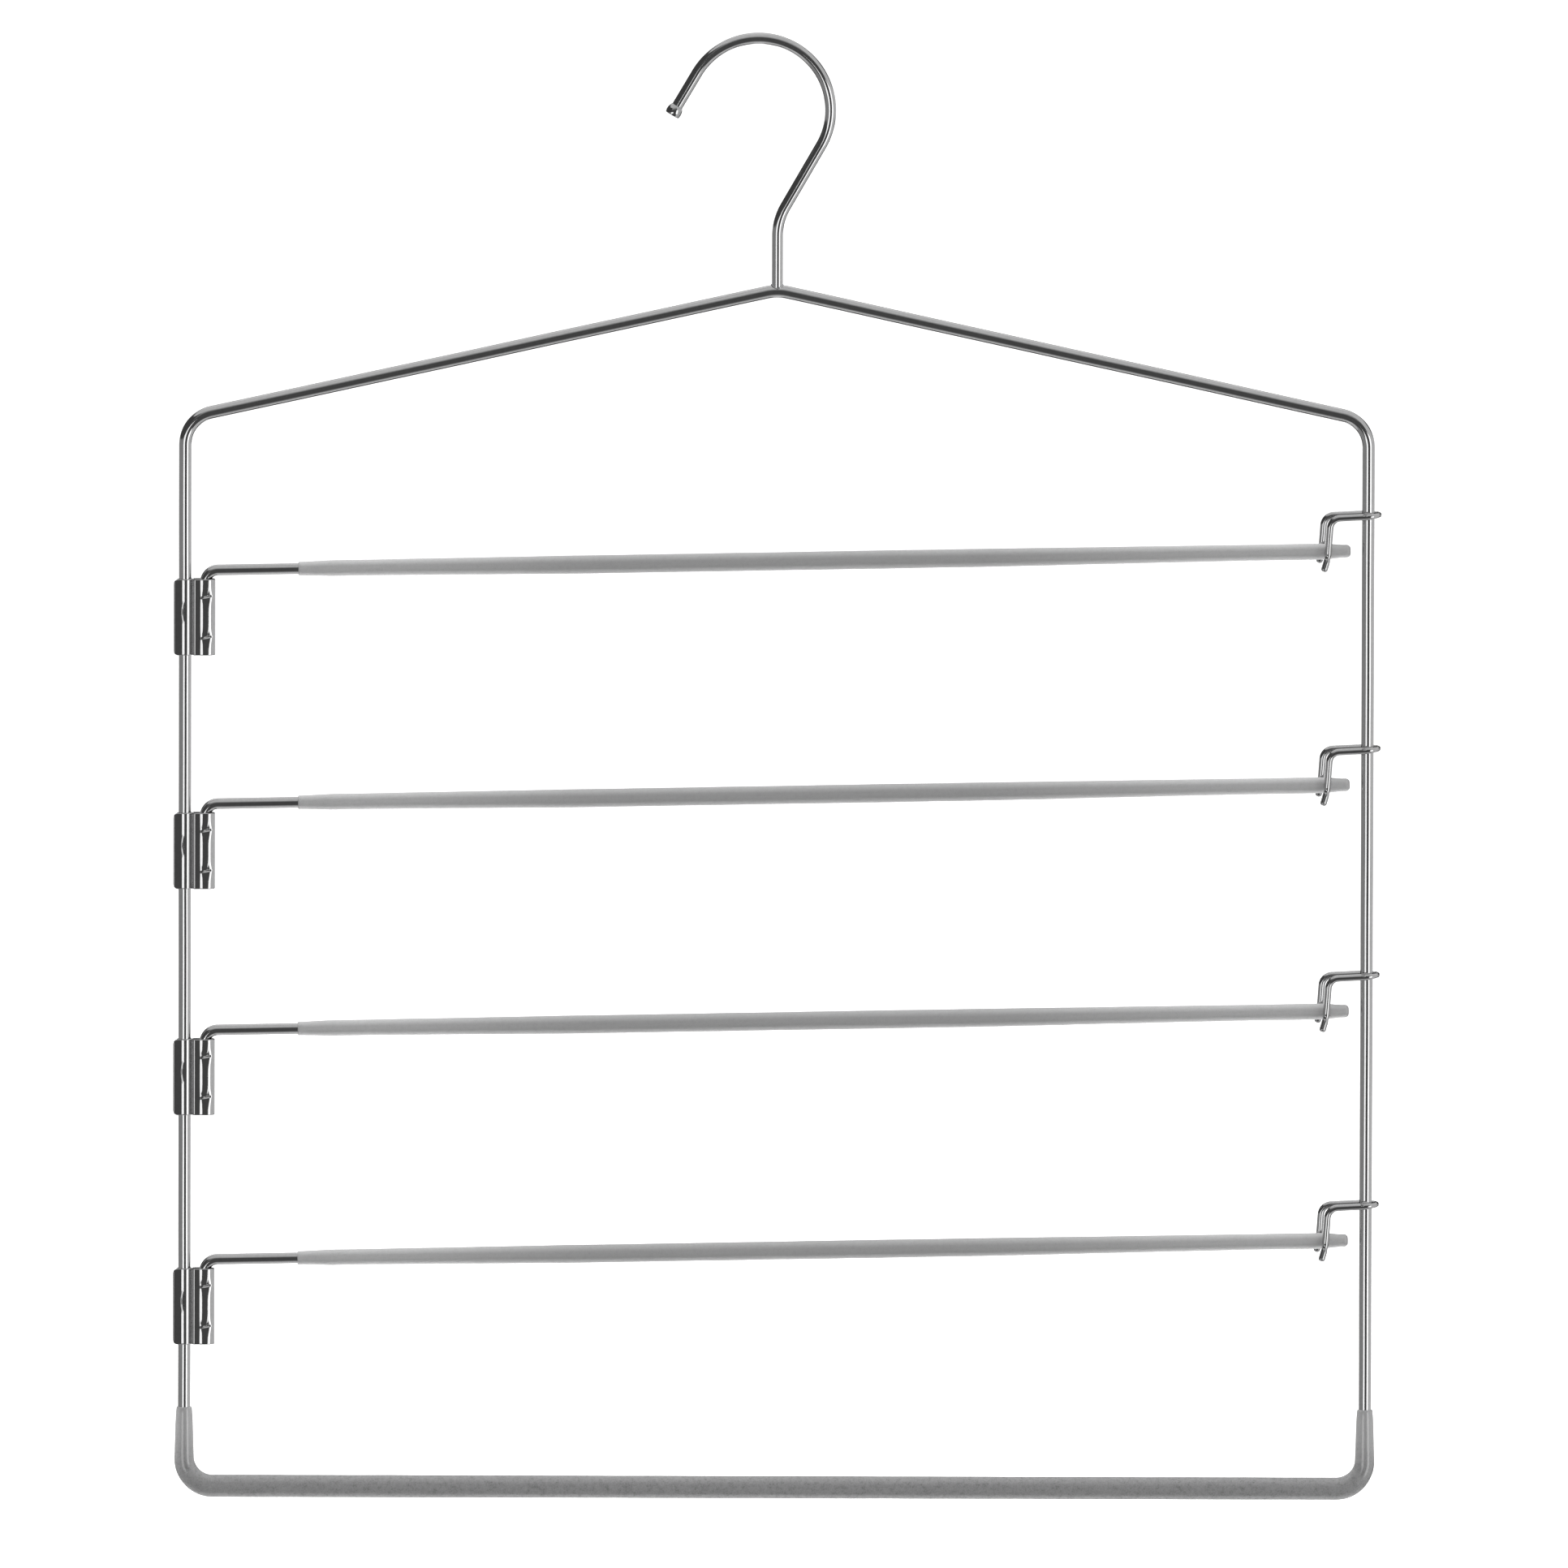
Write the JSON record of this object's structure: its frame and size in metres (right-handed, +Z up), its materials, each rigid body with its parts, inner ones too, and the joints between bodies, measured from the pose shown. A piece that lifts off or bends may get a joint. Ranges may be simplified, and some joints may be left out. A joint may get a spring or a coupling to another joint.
{
  "type": "multi-tier trouser hanger",
  "caption": "Chromed wire trouser hanger with a rail hook, hinged swing-out bars in grey non-slip coats, wire catches and a coated fixed bottom bar.",
  "frame": {"origin": "top of the hook's inside, where it rests on the wardrobe rail", "axes": "+Z up, +X across the frame from the hinge post to the catch post, -Y towards the front"},
  "size_m": [0.3794, 0.0114, 0.4631],
  "materials": {
    "frame_chrome": "bright chrome plating on bent steel wire",
    "hook_chrome": "bright chrome plating on bent steel wire",
    "tip_chrome": "bright chrome plating",
    "arm_chrome": "bright chrome plating on bent steel wire",
    "clip_chrome": "bright chrome plating on folded sheet",
    "catch_chrome": "bright chrome plating on spring wire",
    "arm_coat_grey": "satin grey soft PVC dip coat",
    "bar_coat_grey": "satin grey soft PVC dip coat, finely pitted"
  },
  "bodies": {
    "frame": {"frame_wire": "frame_chrome", "hook": "hook_chrome", "hook_ball_tip": "tip_chrome", "bottom_sleeve": "bar_coat_grey", "hinge_clip_1": "clip_chrome", "hinge_clip_2": "clip_chrome", "hinge_clip_3": "clip_chrome", "hinge_clip_4": "clip_chrome", "catch_1": "catch_chrome", "catch_2": "catch_chrome", "catch_3": "catch_chrome", "catch_4": "catch_chrome"},
    "arm_1": {"swing_arm_1": "arm_chrome", "arm_sleeve_1": "arm_coat_grey"},
    "arm_2": {"swing_arm_2": "arm_chrome", "arm_sleeve_2": "arm_coat_grey"},
    "arm_3": {"swing_arm_3": "arm_chrome", "arm_sleeve_3": "arm_coat_grey"},
    "arm_4": {"swing_arm_4": "arm_chrome", "arm_sleeve_4": "arm_coat_grey"}
  },
  "joints": [
    {"name": "arm_1_swing", "type": "hinge", "parent": "frame", "child": "arm_1", "pos_m": [-0.17345, 0, -0.16636], "axis": [0, 0, -1], "range_deg": [-140, 140]},
    {"name": "arm_2_swing", "type": "hinge", "parent": "frame", "child": "arm_2", "pos_m": [-0.17345, 0, -0.24015], "axis": [0, 0, -1], "range_deg": [-140, 140]},
    {"name": "arm_3_swing", "type": "hinge", "parent": "frame", "child": "arm_3", "pos_m": [-0.17345, 0, -0.31167], "axis": [0, 0, -1], "range_deg": [-140, 140]},
    {"name": "arm_4_swing", "type": "hinge", "parent": "frame", "child": "arm_4", "pos_m": [-0.17345, 0, -0.38424], "axis": [0, 0, -1], "range_deg": [-140, 140]}
  ]
}
